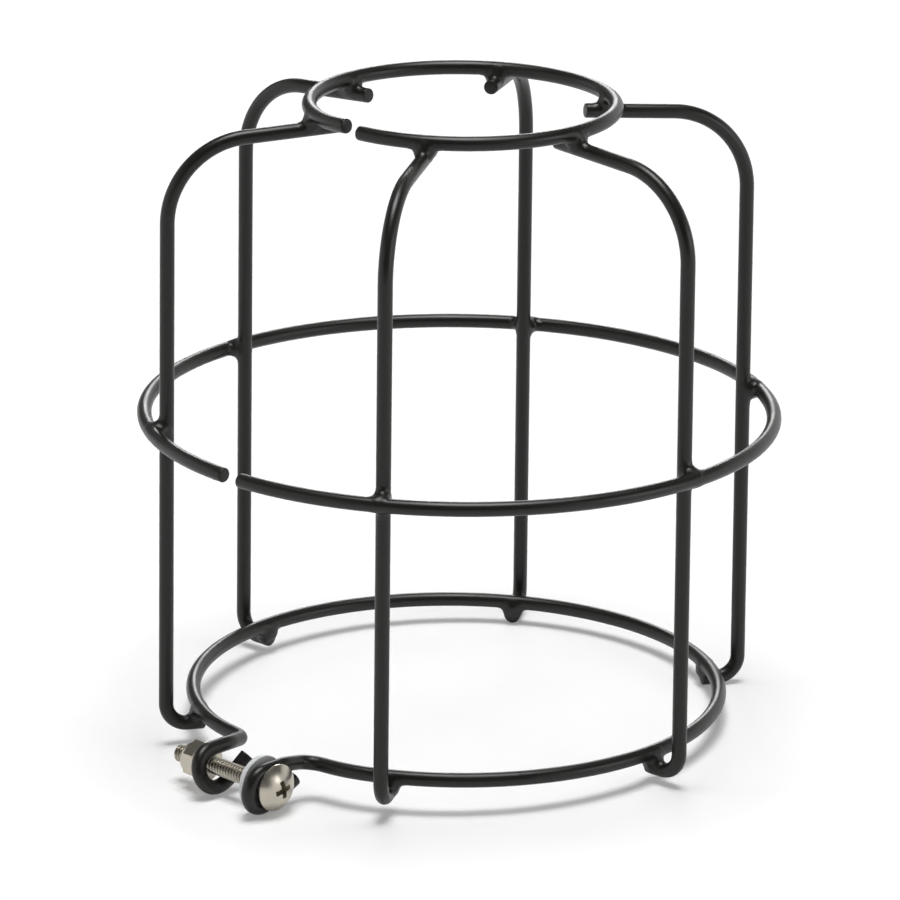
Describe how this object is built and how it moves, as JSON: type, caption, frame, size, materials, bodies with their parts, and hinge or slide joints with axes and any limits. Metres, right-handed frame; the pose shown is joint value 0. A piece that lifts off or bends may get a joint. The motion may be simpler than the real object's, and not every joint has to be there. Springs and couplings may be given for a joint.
{
  "type": "wire light guard",
  "caption": "Open cage of bent steel wire that guards a lamp; a split ring at its base is drawn tight round the lamp's neck by a screw and lock nut.",
  "frame": {"origin": "centre of the clamp ring, in the plane of its wire's centreline", "axes": "+Z along the cage's axis from the clamp ring to the top ring, -Y towards the gap in the clamp ring, +X towards the head of the clamp screw"},
  "size_m": [0.176, 0.1832, 0.1795],
  "materials": {
    "black_powder_coat": "satin black powder coat on round steel wire",
    "stainless_steel": "plain stainless steel, rolled threads and a smooth domed head",
    "natural_nylon": "undyed nylon, milky white"
  },
  "bodies": {
    "root": {"rib_1": "black_powder_coat", "rib_2": "black_powder_coat", "rib_3": "black_powder_coat", "rib_4": "black_powder_coat", "rib_5": "black_powder_coat", "rib_6": "black_powder_coat", "top_ring": "black_powder_coat", "middle_hoop": "black_powder_coat", "clamp_ring": "black_powder_coat", "top_ring_welds": "black_powder_coat", "middle_hoop_welds": "black_powder_coat", "clamp_ring_welds": "black_powder_coat", "clamp_screw": "stainless_steel", "flat_washer": "stainless_steel", "lock_nut": "stainless_steel", "nylon_washer": "natural_nylon", "lock_nut_insert": "natural_nylon"}
  },
  "joints": []
}
